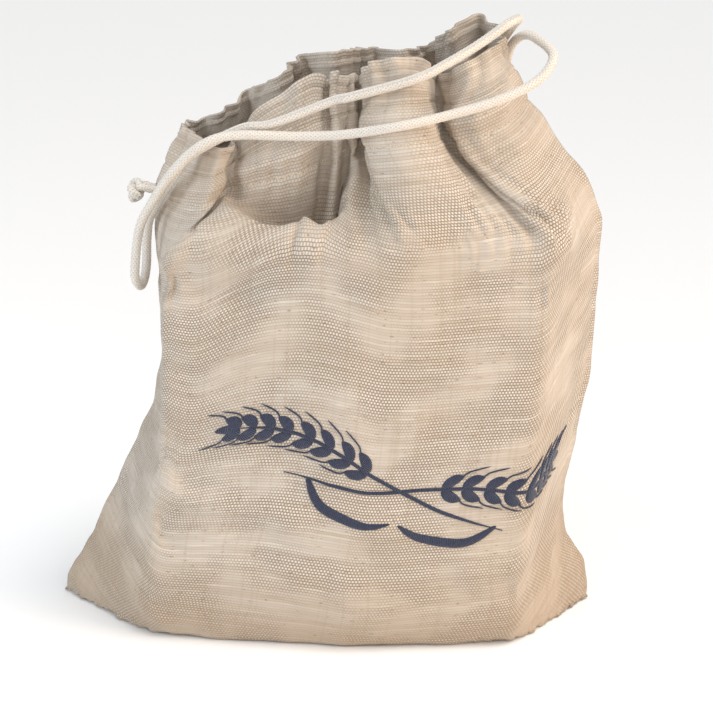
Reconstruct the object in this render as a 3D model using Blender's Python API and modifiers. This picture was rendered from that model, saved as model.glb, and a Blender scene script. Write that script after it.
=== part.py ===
"""Linen bread bag: two flat cloth panels sewn along their sides and their foot,
filled, standing on its foot, drawn together at the mouth by one braided cord.

Metres. X runs along the bag's width, the front faces -Y, Z is up. The origin is the
middle of the cloth's bounding box, on the ground. Each panel is one thin solid whose
outer side is a surface over flat cloth: u runs round the bag from the left side seam
over the front to the right side seam and back, v runs from the foot seam to the top.
"""
import bpy
import numpy as np

# ---------------------------------------------------------------- driving sizes
FLAT_W = 0.315        # one panel, side seam to side seam
FLAT_H = 0.392        # one panel, foot seam to top edge
TUNNEL_V = 0.358      # cloth height of the middle of the tunnel for the cord
TUNNEL_HALF = 0.010   # half the height of the tunnel
CLOTH_T = 0.0013      # cloth thickness
SIDE_GAP = 0.0013     # set-back of each panel edge along a side seam
FOOT_GAP = 0.0003     # set-back of each panel edge along the foot seam
EAR_TRIM = 0.0036     # extra set-back of the panel edges in the pointed lower corners
SLOT_TRIM = 0.0032    # extra set-back where the seam is left open for the cord
SEAM_Y = 0.002        # the side seams and the foot seam lie near this plane
CORD_D = 0.005        # cord diameter
ORIGIN = (-0.0026, -0.0110)   # middle of the cloth's box, taken off every position
DENSE_U, DENSE_V = 480, 280   # fine grid the surface is worked out on

# ---------------------------------------------------------------- body, one row a height
# columns: height, left seam x, front left corner x, y, front middle y,
#          front right corner x, y, right seam x, back right x, back left x, back y
BODY = np.array([
    [0.000, -0.153, -0.094, -0.050, -0.061, 0.098, -0.053, 0.147, 0.098, -0.095, 0.038],
    [0.010, -0.151, -0.097, -0.054, -0.066, 0.102, -0.058, 0.147, 0.101, -0.097, 0.042],
    [0.024, -0.143, -0.097, -0.056, -0.069, 0.104, -0.060, 0.144, 0.104, -0.095, 0.045],
    [0.040, -0.134, -0.096, -0.057, -0.069, 0.105, -0.060, 0.133, 0.106, -0.093, 0.046],
    [0.055, -0.127, -0.095, -0.056, -0.068, 0.106, -0.060, 0.130, 0.107, -0.091, 0.046],
    [0.085, -0.112, -0.091, -0.054, -0.065, 0.108, -0.058, 0.133, 0.110, -0.087, 0.046],
    [0.115, -0.098, -0.088, -0.052, -0.064, 0.110, -0.056, 0.138, 0.112, -0.084, 0.046],
    [0.140, -0.092, -0.086, -0.051, -0.063, 0.112, -0.055, 0.142, 0.114, -0.083, 0.045],
    [0.190, -0.092, -0.085, -0.048, -0.060, 0.116, -0.052, 0.144, 0.118, -0.079, 0.043],
    [0.235, -0.095, -0.085, -0.044, -0.056, 0.118, -0.047, 0.143, 0.120, -0.079, 0.040],
])
FRONT_MIDDLE_X = 0.012
CORNER_ROUND = 0.0045

# ---------------------------------------------------------------- where the neck starts
# columns: cloth position round the bag, height of the shoulder there
SHOULDER = np.array([
    [0.000, 0.200], [0.050, 0.204], [0.110, 0.203], [0.170, 0.218], [0.240, 0.218],
    [0.315, 0.212], [0.400, 0.218], [0.520, 0.202], [0.630, 0.200],
])

# ---------------------------------------------------------------- mouth, one row a fold
# columns: tunnel x, y, z, top edge x, y, z; crests and hollows in turn, front first
MOUTH_FRONT = [
    (-0.090, 0.002, 0.242, -0.076, 0.004, 0.271),   # left side seam
    (-0.061, -0.031, 0.246, -0.056, -0.028, 0.267),  # left shoulder fold
    (-0.050, -0.016, 0.252, -0.048, -0.013, 0.268),
    (-0.040, -0.026, 0.257, -0.041, -0.018, 0.281),  # dome, left side
    (-0.006, -0.029, 0.269, -0.007, -0.016, 0.303),  # dome, right side
    (0.013, -0.006, 0.274, 0.013, 0.000, 0.297),
    (0.021, -0.037, 0.281, 0.022, -0.030, 0.312),   # great ridge, left side
    (0.046, -0.041, 0.284, 0.045, -0.030, 0.314),   # great ridge, right side
    (0.056, -0.012, 0.282, 0.055, -0.010, 0.302),
    (0.065, -0.031, 0.283, 0.064, -0.024, 0.308),   # right fold
    (0.085, -0.028, 0.289, 0.079, -0.020, 0.316),
]
MOUTH_BACK = [
    (0.097, 0.000, 0.295, 0.087, 0.002, 0.319),     # right side seam
    (0.084, 0.032, 0.295, 0.077, 0.028, 0.327),     # peak
    (0.068, 0.016, 0.292, 0.062, 0.016, 0.321),
    (0.051, 0.036, 0.286, 0.051, 0.034, 0.310),
    (0.036, 0.016, 0.281, 0.038, 0.016, 0.310),
    (0.016, 0.036, 0.277, 0.019, 0.034, 0.308),
    (0.000, 0.012, 0.274, 0.004, 0.012, 0.310),
    (-0.016, 0.034, 0.270, -0.017, 0.030, 0.304),
    (-0.030, 0.014, 0.264, -0.026, 0.014, 0.297),
    (-0.048, 0.032, 0.257, -0.046, 0.028, 0.285),
    (-0.062, 0.016, 0.252, -0.056, 0.014, 0.278),
    (-0.078, 0.020, 0.246, -0.070, 0.018, 0.272),
]

# ---------------------------------------------------------------- soft folds over the panels
# columns: from u, v, to u, v, height (out is plus), half width
FOLDS = np.array([
    [0.094, 0.338, 0.124, 0.314, -0.021, 0.021],    # deep pocket under the dome
    [0.058, 0.302, 0.126, 0.293, 0.005, 0.012],     # lip of the pocket
    [0.070, 0.335, 0.056, 0.300, 0.004, 0.012],     # left shoulder
    [0.030, 0.296, 0.088, 0.280, -0.005, 0.011],    # sagging trough below the lip
    [0.088, 0.280, 0.145, 0.264, -0.003, 0.011],
    [0.190, 0.350, 0.150, 0.305, 0.005, 0.016],     # great ridge runs down to the lip
    [0.236, 0.340, 0.244, 0.316, -0.011, 0.013],    # right pocket
    [0.262, 0.336, 0.276, 0.290, 0.004, 0.014],     # fold beside the right seam
    [0.310, 0.335, 0.316, 0.262, 0.003, 0.007],     # right side seam stands proud
    [0.063, 0.169, 0.115, 0.160, -0.002, 0.010],
    [0.073, 0.131, 0.142, 0.108, -0.002, 0.012],
    [0.400, 0.300, 0.470, 0.270, -0.006, 0.020],    # folds of the back
    [0.480, 0.320, 0.500, 0.240, 0.004, 0.016],
    [0.560, 0.280, 0.600, 0.200, -0.003, 0.014],
    [0.380, 0.150, 0.450, 0.110, -0.003, 0.018],
])

# panel grid lines: many where the cloth is gathered or turns, few on the plain walls
PANEL_COLUMNS = 44
GROUND_ROWS = 2
WALL_STEPS = ((0.00, 3), (0.10, 6), (0.60, 8), (1.00, 3))

# ---------------------------------------------------------------- cord, one row a bend
# The middle of the cord is pulled out of the right seam and laid over the front.
# columns: x, y, z
CORD_ROUTE = np.array([
    (0.0840, 0.0394, 0.2935),    # behind the right seam
    (0.0860, 0.0370, 0.3030),
    (0.0905, 0.0250, 0.3150),
    (0.0945, 0.0130, 0.3245),
    (0.0965, 0.0005, 0.3300),    # upper bend
    (0.0900, -0.0110, 0.3290),
    (0.0768, -0.0200, 0.3211),
    (0.0600, -0.0340, 0.3134),
    (0.0437, -0.0405, 0.3065),    # over the great ridge
    (0.0123, -0.0380, 0.2970),
    (0.0022, -0.0345, 0.2938),
    (-0.0282, -0.0330, 0.2816),
    (-0.0447, -0.0305, 0.2784),   # under the other strand
    (-0.0708, -0.0262, 0.2636),
    (-0.0812, -0.0214, 0.2500),
    (-0.0905, -0.0120, 0.2345),
    (-0.0962, -0.0045, 0.2230),
    (-0.0985, 0.0005, 0.2100),
    (-0.0990, 0.0005, 0.1990),
    (-0.0997, -0.0026, 0.1916),
    (-0.1007, -0.0100, 0.1885),    # the bight
    (-0.1017, -0.0174, 0.1916),
    (-0.1025, -0.0205, 0.1990),
    (-0.0995, -0.0200, 0.2220),
    (-0.0922, -0.0205, 0.2369),
    (-0.0796, -0.0305, 0.2560),
    (-0.0646, -0.0370, 0.2708),
    (-0.0478, -0.0370, 0.2765),
    (-0.0144, -0.0380, 0.2765),
    (0.0090, -0.0430, 0.2788),
    (0.0350, -0.0508, 0.2846),    # across the great ridge
    (0.0603, -0.0440, 0.2891),
    (0.0852, -0.0375, 0.2955),
    (0.1057, -0.0260, 0.3036),
    (0.1139, -0.0120, 0.3133),    # free arc beside the mouth
    (0.1060, 0.0005, 0.3200),
    (0.1000, 0.0105, 0.3200),
    (0.0945, 0.0195, 0.3130),
    (0.0930, 0.0300, 0.3020),
    (0.0918, 0.0314, 0.2920)])
CORD_SPLITS = 2       # spline points to every row of the route
CORD_SIDES = 3        # bevel resolution

# ---------------------------------------------------------------- knot, one row a ring
# The cord's two ends leave the left seam and are tied together. columns: x, radius
KNOT_ROWS = np.array([
    (-0.0925, 0.0024), (-0.0945, 0.0027), (-0.0962, 0.0040), (-0.0980, 0.0054),
    (-0.1005, 0.0060), (-0.1030, 0.0056), (-0.1050, 0.0042), (-0.1062, 0.0022),
])
KNOT_Y, KNOT_Z = 0.003, 0.2370
KNOT_SIDES = 20
KNOT_LOBE = 0.14      # how far the wrapped strands swell the knot
KNOT_TWIST = 260.0    # turn of the lobes along the knot, radians a metre

LINEN = (0.60, 0.50, 0.38)
COTTON = (0.80, 0.75, 0.66)


def round_ring(ring, spread):
    """A closed ring of points with its corners rounded over about `spread` metres."""
    count = ring.shape[1]
    wave = np.fft.fftfreq(count, 2 * FLAT_W / count)
    keep = np.exp(-2 * (np.pi * wave * spread) ** 2)
    return np.real(np.fft.ifft(np.fft.fft(ring, axis=1) * keep, axis=1))


def even_steps(line, count):
    """`count` points at even spacing along an open line (rows of points), end left out."""
    step = np.sqrt((np.diff(line[:, :2], axis=0) ** 2).sum(1))
    along = np.concatenate([[0.0], np.cumsum(step)])
    where = np.linspace(0.0, along[-1], count + 1)[:-1]
    return np.stack([np.interp(where, along, column) for column in line.T])


def body_ring(row):
    """Outline of the body at one height, DENSE_U points round it."""
    left, flx, fly, fmy, frx, fry, right, brx, blx, back = row
    front = [(left, SEAM_Y), (flx, fly), (FRONT_MIDDLE_X, fmy), (frx, fry), (right, SEAM_Y)]
    rear = [(right, SEAM_Y), (brx, 0.9 * back), (FRONT_MIDDLE_X, back), (blx, 0.9 * back),
            (left, SEAM_Y)]
    half = DENSE_U // 2
    ring = np.concatenate([even_steps(np.array(side), half) for side in (front, rear)], axis=1)
    return round_ring(ring, CORNER_ROUND)


def smooth_loop(knots, steps=24):
    """Closed Catmull-Rom curve through the rows of knots."""
    t = (np.arange(steps) / steps)[:, None]
    loop = []
    count = len(knots)
    for i in range(count):
        a, b = knots[i - 1], knots[i]
        c, d = knots[(i + 1) % count], knots[(i + 2) % count]
        loop.append(b + 0.5 * t * (c - a + t * (2 * a - 5 * b + 4 * c - d
                                                + t * (3 * (b - c) + d - a))))
    return np.concatenate(loop)


def mouth_ring():
    """Tunnel and top edge round the mouth: rows x, y, z, x, y, z by DENSE_U columns."""
    loop = smooth_loop(np.array(MOUTH_FRONT + MOUTH_BACK))
    cut = len(MOUTH_FRONT) * 24
    closed = np.vstack([loop, loop[:1]])
    half = DENSE_U // 2
    return np.concatenate([even_steps(closed[:cut + 1], half),
                           even_steps(closed[cut:], half)], axis=1)


def column_paths(mouth):
    """The way each column of cloth takes: along the ground, up the wall, over the neck."""
    rings = np.stack([body_ring(row[1:]) for row in BODY])
    heights = BODY[:, 0]
    u = np.arange(DENSE_U) * 2 * FLAT_W / DENSE_U
    across = np.linspace(BODY[0, 1], BODY[0, 7], DENSE_U // 2 + 1)
    seam_x = np.concatenate([across, across[-2:0:-1]])
    zero = np.zeros(DENSE_U)
    seam = np.stack([seam_x, zero + SEAM_Y, zero])
    foot = np.stack([rings[0, 0], rings[0, 1], zero])
    ground = seam[:, :, None] + (foot - seam)[:, :, None] * np.linspace(0, 1, 16)[:-1]
    top = np.interp(u, SHOULDER[:, 0], SHOULDER[:, 1])
    z = top[:, None] * np.linspace(0, 1, 110)
    k = np.clip(np.searchsorted(heights, z, side="right") - 1, 0, len(heights) - 2)
    share = (z - heights[k]) / (heights[k + 1] - heights[k])
    column = np.arange(DENSE_U)[:, None] + 0 * k
    wall = np.stack([rings[k, axis, column] * (1 - share) + rings[k + 1, axis, column] * share
                     for axis in (0, 1)] + [z])
    start, end = wall[:, :, -1], mouth[:3]
    reach = np.sqrt(((end - start) ** 2).sum(0))
    rise = mouth[3:] - mouth[:3]
    leave = np.stack([zero, zero, reach * 0.85])
    arrive = rise / np.sqrt((rise ** 2).sum(0)) * reach * 0.65
    t = np.linspace(0, 1, 60)[1:]
    neck = (start[:, :, None] * (2 * t ** 3 - 3 * t ** 2 + 1)
            + leave[:, :, None] * (t ** 3 - 2 * t ** 2 + t)
            + end[:, :, None] * (3 * t ** 2 - 2 * t ** 3)
            + arrive[:, :, None] * (t ** 3 - t ** 2))
    run = np.sqrt(((foot - seam) ** 2).sum(0))
    return np.concatenate([ground, wall, neck], axis=2), run


def drape():
    """The bag's outer surface on the fine grid: 3 x (DENSE_V + 1) x DENSE_U."""
    mouth = mouth_ring()
    path, ground_run = column_paths(mouth)
    step = np.sqrt((np.diff(path, axis=2) ** 2).sum(0))
    along = np.concatenate([np.zeros((DENSE_U, 1)), np.cumsum(step, axis=1)], axis=1)
    v = np.linspace(0, FLAT_H, DENSE_V + 1)
    below = v[v <= TUNNEL_V]
    surface = np.zeros((3, DENSE_V + 1, DENSE_U))
    for c in range(DENSE_U):
        flat = ground_run[c]
        rest = flat + (below - flat) / (TUNNEL_V - flat) * (along[c, -1] - flat)
        place = np.where(below < flat, below, rest)
        for axis in range(3):
            surface[axis, :len(below), c] = np.interp(place, along[c], path[axis, c])
    lift = ((v[len(below):] - TUNNEL_V) / (FLAT_H - TUNNEL_V))[None, :, None]
    surface[:, len(below):] = mouth[:3, None] * (1 - lift) + mouth[3:, None] * lift
    return press_folds(surface, v), ground_run


def press_folds(surface, v):
    """Moves the cloth along its own normal by every row of FOLDS, a soft hump each."""
    u = np.arange(DENSE_U) * 2 * FLAT_W / DENSE_U
    uu, vv = np.meshgrid(u, v)
    across = np.roll(surface, -1, axis=2) - np.roll(surface, 1, axis=2)
    normal = np.cross(across, np.gradient(surface, axis=1), axis=0)
    normal /= np.sqrt((normal ** 2).sum(0)) + 1e-12
    lift = np.zeros_like(uu)
    for u0, v0, u1, v1, height, width in FOLDS:
        du, dv = u1 - u0, v1 - v0
        t = np.clip(((uu - u0) * du + (vv - v0) * dv) / (du ** 2 + dv ** 2), 0, 1)
        gap = (uu - u0 - t * du) ** 2 + (vv - v0 - t * dv) ** 2
        lift += height * np.exp(-gap / width ** 2)
    return surface + normal * lift


def look_up(surface, u, v):
    """Points of the surface at cloth places u, v (arrays of one shape)."""
    gu = np.mod(u, 2 * FLAT_W) * DENSE_U / (2 * FLAT_W)
    gv = np.clip(v, 0, FLAT_H) * DENSE_V / FLAT_H
    iu = np.floor(gu).astype(int) % DENSE_U
    iv = np.minimum(np.floor(gv).astype(int), DENSE_V - 1)
    fu, fv = gu - np.floor(gu), gv - iv
    ju = (iu + 1) % DENSE_U
    low = surface[:, iv, iu] * (1 - fu) + surface[:, iv, ju] * fu
    high = surface[:, iv + 1, iu] * (1 - fu) + surface[:, iv + 1, ju] * fu
    return low * (1 - fv) + high * fv


def row_places(ground_run):
    """Cloth height of every panel row in a column: over the ground, up the wall, heading."""
    rows = [ground_run * k / GROUND_ROWS for k in range(GROUND_ROWS + 1)]
    for (low, count), (high, _) in zip(WALL_STEPS, WALL_STEPS[1:]):
        for share in np.linspace(low, high, count + 1)[1:]:
            rows.append(ground_run + share * (TUNNEL_V - ground_run))
    for share in np.linspace(0, 1, WALL_STEPS[-1][1] + 1)[1:]:
        rows.append(TUNNEL_V + share * (FLAT_H - TUNNEL_V) + 0 * ground_run)
    rows[0] = FOOT_GAP + 0 * ground_run
    return np.array(rows)


def panel_points(surface, run, first_u):
    """Grid of points of one panel, whose left seam lies at cloth position first_u."""
    share = np.linspace(0, 1, PANEL_COLUMNS + 1)
    u = first_u + share * FLAT_W
    ground_run = np.interp(u, np.arange(DENSE_U + 1) * 2 * FLAT_W / DENSE_U, np.append(run, run[0]))
    v = row_places(np.maximum(ground_run, 0.0045))
    trim = (SIDE_GAP + EAR_TRIM * np.exp(-(v / 0.050) ** 2)
            + SLOT_TRIM * np.exp(-((v - TUNNEL_V) / TUNNEL_HALF) ** 4))
    return look_up(surface, first_u + trim + share * (FLAT_W - 2 * trim), v)


def material(name, colour, roughness):
    mat = bpy.data.materials.new(name)
    mat.use_nodes = True
    shader = mat.node_tree.nodes["Principled BSDF"]
    shader.inputs["Base Color"].default_value = (*colour, 1.0)
    shader.inputs["Roughness"].default_value = roughness
    shader.inputs["Metallic"].default_value = 0.0
    return mat


def panel(name, surface, run, first_u, collection):
    """One panel: a grid skin thickened inwards."""
    points = panel_points(surface, run, first_u)
    rows, columns = points.shape[1:]
    index = np.arange(rows * columns).reshape(rows, columns)
    quads = np.stack([index[:-1, :-1], index[:-1, 1:], index[1:, 1:], index[1:, :-1]], axis=-1)
    flat = points.reshape(3, -1).T - np.array([ORIGIN[0], ORIGIN[1], 0.0])
    mesh = bpy.data.meshes.new(name)
    mesh.from_pydata(flat.tolist(), [], quads.reshape(-1, 4).tolist())
    mesh.shade_smooth()
    mesh.materials.append(material(name + "_linen", LINEN, 0.9))
    body = bpy.data.objects.new(name, mesh)
    collection.objects.link(body)
    shell = body.modifiers.new("cloth thickness", "SOLIDIFY")
    shell.thickness = CLOTH_T
    shell.offset = -1.0
    return body


def cord(collection):
    """The drawcord's loop: a round tube of cord along the smooth curve of CORD_ROUTE."""
    open_ends = np.vstack([CORD_ROUTE[:1], CORD_ROUTE, CORD_ROUTE[-1:]])
    t = np.linspace(0, 1, CORD_SPLITS + 1)[:-1, None]
    line = []
    for a, b, c, d in zip(open_ends, open_ends[1:], open_ends[2:], open_ends[3:]):
        line.append(b + 0.5 * t * (c - a + t * (2 * a - 5 * b + 4 * c - d
                                                + t * (3 * (b - c) + d - a))))
    points = np.vstack(line + [CORD_ROUTE[-1:]])
    curve = bpy.data.curves.new("drawcord_loop", "CURVE")
    curve.dimensions = "3D"
    curve.bevel_depth = CORD_D / 2
    curve.bevel_resolution = CORD_SIDES
    curve.use_fill_caps = True
    spline = curve.splines.new("POLY")
    spline.points.add(len(points) - 1)
    for point, place in zip(spline.points, points):
        point.co = (place[0] - ORIGIN[0], place[1] - ORIGIN[1], place[2], 1.0)
    curve.materials.append(material("drawcord_cotton", COTTON, 0.85))
    body = bpy.data.objects.new("drawcord_loop", curve)
    collection.objects.link(body)
    return body


def knot(collection):
    """The knot of the two cord ends: rings whose radius swells in two twisting lobes."""
    angle = np.arange(KNOT_SIDES) * 2 * np.pi / KNOT_SIDES
    x, radius = KNOT_ROWS.T
    swell = 1 + KNOT_LOBE * np.cos(2 * angle + KNOT_TWIST * x[:, None])
    ring = radius[:, None] * swell
    points = np.stack([x[:, None] + 0 * ring - ORIGIN[0],
                       KNOT_Y - ORIGIN[1] + ring * np.cos(angle),
                       KNOT_Z + ring * np.sin(angle)], axis=-1).reshape(-1, 3)
    index = np.arange(ring.size).reshape(ring.shape)
    after = np.roll(index, -1, axis=1)
    sides = np.stack([index[:-1], index[1:], after[1:], after[:-1]], axis=-1)
    faces = sides.reshape(-1, 4).tolist() + [index[0].tolist(), index[-1][::-1].tolist()]
    mesh = bpy.data.meshes.new("cord_knot")
    mesh.from_pydata(points.tolist(), [], faces)
    mesh.materials.append(material("knot_cotton", COTTON, 0.85))
    body = bpy.data.objects.new("cord_knot", mesh)
    collection.objects.link(body)
    return body


def clear_scene():
    for item in list(bpy.data.objects):
        bpy.data.objects.remove(item)


def build():
    clear_scene()
    bag = bpy.data.collections.new("linen_bread_bag")
    bpy.context.scene.collection.children.link(bag)
    surface, run = drape()
    panel("front_panel", surface, run, 0.0, bag)
    panel("back_panel", surface, run, FLAT_W, bag)
    cord(bag)
    knot(bag)


build()
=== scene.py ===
# %% [markdown]
# # Linen bread bag
# The bag is two pieces of coarse half-linen sewn together at the sides and the foot, with a tunnel
# near the top. A braided cotton cord runs in the tunnel and gathers the mouth. The bag is full, so it
# stands by itself. Everything is in metres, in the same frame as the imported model, which gives the
# places; this script adds the cloth's real folds, its weave, the stitches and the embroidery.

import bpy
import numpy as np
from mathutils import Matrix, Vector


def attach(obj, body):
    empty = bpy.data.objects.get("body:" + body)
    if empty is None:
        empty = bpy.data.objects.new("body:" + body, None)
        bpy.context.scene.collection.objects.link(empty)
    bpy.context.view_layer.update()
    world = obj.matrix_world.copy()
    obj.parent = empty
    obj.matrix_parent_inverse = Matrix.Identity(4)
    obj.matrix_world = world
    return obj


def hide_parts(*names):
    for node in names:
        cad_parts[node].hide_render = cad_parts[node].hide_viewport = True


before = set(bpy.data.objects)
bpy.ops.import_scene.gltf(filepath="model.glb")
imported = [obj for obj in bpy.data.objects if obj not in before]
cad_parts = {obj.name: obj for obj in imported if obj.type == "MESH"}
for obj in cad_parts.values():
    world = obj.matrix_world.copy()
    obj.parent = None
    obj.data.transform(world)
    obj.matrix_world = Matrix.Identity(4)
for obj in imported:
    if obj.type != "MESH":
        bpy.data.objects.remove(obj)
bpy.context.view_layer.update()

# %% [markdown]
# ## Camera
# A long lens about a metre away looks down on the bag at 19 degrees, almost square to its front. A long
# lens keeps the upright sides nearly parallel, which is how a small thing on a table looks in a
# catalogue. The camera is placed first, because the cord is laid out for what it sees.

# %% camera
BAG_MIDDLE = Vector((0.0026, 0.0110, 0.155))   # what the lens points at
VIEW_TURN = np.radians(2.0)
VIEW_RISE = np.radians(19.0)
VIEW_DISTANCE = 1.0
SENSOR_MM, LENS_MM = 36.0, 92.65
SHIFT_X, SHIFT_Y = 0.037, -0.023

towards_lens = Vector((np.sin(VIEW_TURN) * np.cos(VIEW_RISE),
                       -np.cos(VIEW_TURN) * np.cos(VIEW_RISE), np.sin(VIEW_RISE)))
lens = bpy.data.cameras.new("camera")
lens.sensor_width, lens.lens = SENSOR_MM, LENS_MM
lens.shift_x, lens.shift_y = SHIFT_X, SHIFT_Y
camera = bpy.data.objects.new("camera", lens)
camera.location = BAG_MIDDLE + VIEW_DISTANCE * towards_lens
camera.rotation_euler = towards_lens.to_track_quat("Z", "Y").to_euler()
bpy.context.collection.objects.link(camera)
bpy.context.scene.camera = camera
print("camera at", [round(x, 3) for x in camera.location])

# %% [markdown]
# ## The cord's way
# One cord draws the mouth. Its two ends come out of the left side seam and are knotted. Its middle is
# pulled out of the right seam as one long loop, laid over the front and left to hang at the left.
# The way is a list of bends. Most were worked out with a separate measuring script and then partly
# moved by hand, so it isn't a list chosen by hand. A smooth curve through them is what a limp cord does
# between the places where it is held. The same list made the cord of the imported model.

# %% cord route
MODEL_SHIFT = np.array([0.0026, 0.0110, 0.0])   # from the drawing's middle to the frame's
CORD_D = 0.005
CORD_ROUTE = MODEL_SHIFT + np.array([
    (0.0840, 0.0394, 0.2935), (0.0860, 0.0370, 0.3030), (0.0905, 0.0250, 0.3150),
    (0.0945, 0.0130, 0.3245), (0.0965, 0.0005, 0.3300), (0.0900, -0.0110, 0.3290),
    (0.0768, -0.0200, 0.3211), (0.0600, -0.0340, 0.3134), (0.0437, -0.0405, 0.3065),
    (0.0123, -0.0380, 0.2970), (0.0022, -0.0345, 0.2938), (-0.0282, -0.0330, 0.2816),
    (-0.0447, -0.0305, 0.2784), (-0.0708, -0.0262, 0.2636), (-0.0812, -0.0214, 0.2500),
    (-0.0905, -0.0120, 0.2345), (-0.0962, -0.0045, 0.2230), (-0.0985, 0.0005, 0.2100),
    (-0.0990, 0.0005, 0.1990), (-0.0997, -0.0026, 0.1916), (-0.1007, -0.0100, 0.1885),
    (-0.1017, -0.0174, 0.1916), (-0.1025, -0.0205, 0.1990), (-0.0995, -0.0200, 0.2220),
    (-0.0922, -0.0205, 0.2369), (-0.0796, -0.0305, 0.2560), (-0.0646, -0.0370, 0.2708),
    (-0.0478, -0.0370, 0.2765), (-0.0144, -0.0380, 0.2765), (0.0090, -0.0430, 0.2788),
    (0.0350, -0.0508, 0.2846), (0.0603, -0.0440, 0.2891), (0.0852, -0.0375, 0.2955),
    (0.1057, -0.0260, 0.3036), (0.1139, -0.0120, 0.3133), (0.1060, 0.0005, 0.3200),
    (0.1000, 0.0105, 0.3200), (0.0945, 0.0195, 0.3130), (0.0930, 0.0300, 0.3020),
    (0.0918, 0.0314, 0.2920)])


def cubic(a, b, c, d, t):
    """Catmull-Rom: the cubic from b (t = 0) to c (t = 1) whose slopes are (c - a) / 2 and (d - b) / 2."""
    return b + 0.5 * t * (c - a + t * (2 * a - 5 * b + 4 * c - d + t * (3 * (b - c) + d - a)))


def smooth_through(rows, steps, closed=False):
    """A smooth curve through all rows, with steps points to every gap between two of them."""
    if closed:
        rows = np.vstack([rows[-1:], rows, rows[:2]])
    else:
        rows = np.vstack([rows[:1], rows, rows[-1:]])
    a, b, c, d = (rows[k:len(rows) - 3 + k, None] for k in range(4))
    t = (np.arange(steps) / steps)[None, :, None]
    curve = cubic(a, b, c, d, t).reshape(-1, rows.shape[1])
    return curve if closed else np.vstack([curve, rows[-1:]])


def length_along(line):
    """The length of a line from its start to each of its rows."""
    return np.append(0.0, np.cumsum(np.linalg.norm(np.diff(line, axis=0), axis=1)))


def evenly(line, step):
    """The same line with a point about every step metres along it, and its length."""
    along = length_along(line)
    places = np.linspace(0.0, along[-1], int(round(along[-1] / step)) + 1)
    return np.stack([np.interp(places, along, column) for column in line.T], axis=1), along[-1]


RING_STEP = 0.0006              # from ring to ring of the cord's mesh
cord_line, cord_length = evenly(smooth_through(CORD_ROUTE, 16), RING_STEP)
print("cord", round(cord_length, 3), "m of the loop shows,", len(cord_line), "rings")

# %% [markdown]
# ## How the cloth stands
# The bag was cut flat, so its shape has to come from flat cloth bent round the filling. It could be
# left to a cloth simulation alone, but then every fold would be luck. Here the big shape comes first
# from a few tables: outlines of the filled body at some heights, and the crests and hollows of the
# gathered mouth, whose places were worked out with the same measuring script. After that the cloth
# is let go for a moment and finds its own small folds.
# On the cloth, u runs round the bag from the left seam over the front, and v runs up from the foot.

# %% sizes of the cloth
FLAT_W, FLAT_H = 0.315, 0.392   # one panel as cut and hemmed
TUNNEL_V = 0.358                # the middle of the tunnel
SEAM_Y = 0.002
GROUND_Z = 0.0012               # the cloth's outer side over the ground
COLUMNS, ROWS = 160, 98         # first grid, about 4 mm
ROUND = 2 * FLAT_W

# height, left seam x, front left corner x, y, front middle y, front right corner x, y,
# right seam x, back right x, back left x, back y
BODY = np.array([
    [0.000, -0.153, -0.094, -0.050, -0.061, 0.098, -0.053, 0.147, 0.098, -0.095, 0.038],
    [0.010, -0.151, -0.097, -0.054, -0.066, 0.102, -0.058, 0.147, 0.101, -0.097, 0.042],
    [0.024, -0.143, -0.097, -0.056, -0.069, 0.104, -0.060, 0.144, 0.104, -0.095, 0.045],
    [0.040, -0.134, -0.096, -0.057, -0.069, 0.105, -0.060, 0.133, 0.106, -0.093, 0.046],
    [0.055, -0.127, -0.095, -0.056, -0.068, 0.106, -0.060, 0.130, 0.107, -0.091, 0.046],
    [0.085, -0.112, -0.091, -0.054, -0.065, 0.108, -0.058, 0.133, 0.110, -0.087, 0.046],
    [0.115, -0.098, -0.088, -0.052, -0.064, 0.110, -0.056, 0.138, 0.112, -0.084, 0.046],
    [0.140, -0.092, -0.086, -0.051, -0.063, 0.112, -0.055, 0.142, 0.114, -0.083, 0.045],
    [0.190, -0.092, -0.085, -0.048, -0.060, 0.116, -0.052, 0.144, 0.118, -0.079, 0.043],
    [0.235, -0.095, -0.085, -0.044, -0.056, 0.118, -0.047, 0.143, 0.120, -0.079, 0.040],
])
FRONT_MIDDLE_X = 0.012
CORNER_ROUND = 0.0045

# place round the bag, height where the wall starts to turn in towards the mouth
SHOULDER = np.array([
    [0.000, 0.200], [0.050, 0.204], [0.110, 0.203], [0.170, 0.218], [0.240, 0.218],
    [0.315, 0.212], [0.400, 0.218], [0.520, 0.202], [0.630, 0.200]])

# crests and hollows of the mouth: tunnel x, y, z, top edge x, y, z
MOUTH_FRONT = np.array([
    (-0.090, 0.002, 0.242, -0.076, 0.004, 0.271),
    (-0.061, -0.031, 0.246, -0.056, -0.028, 0.267),
    (-0.050, -0.016, 0.252, -0.048, -0.013, 0.268),
    (-0.040, -0.026, 0.257, -0.041, -0.018, 0.281),
    (-0.010, -0.030, 0.268, -0.010, -0.018, 0.303),
    (-0.002, -0.018, 0.271, -0.002, -0.007, 0.298),
    (0.004, -0.026, 0.272, 0.003, -0.013, 0.304),
    (0.009, -0.015, 0.274, 0.009, -0.004, 0.299),
    (0.013, -0.020, 0.275, 0.013, -0.008, 0.303),
    (0.017, -0.008, 0.276, 0.016, -0.001, 0.297),
    (0.021, -0.037, 0.281, 0.022, -0.030, 0.312),
    (0.046, -0.041, 0.284, 0.045, -0.030, 0.314),
    (0.056, -0.012, 0.282, 0.055, -0.010, 0.302),
    (0.065, -0.031, 0.283, 0.064, -0.024, 0.308),
    (0.085, -0.028, 0.289, 0.079, -0.020, 0.316)])
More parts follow.
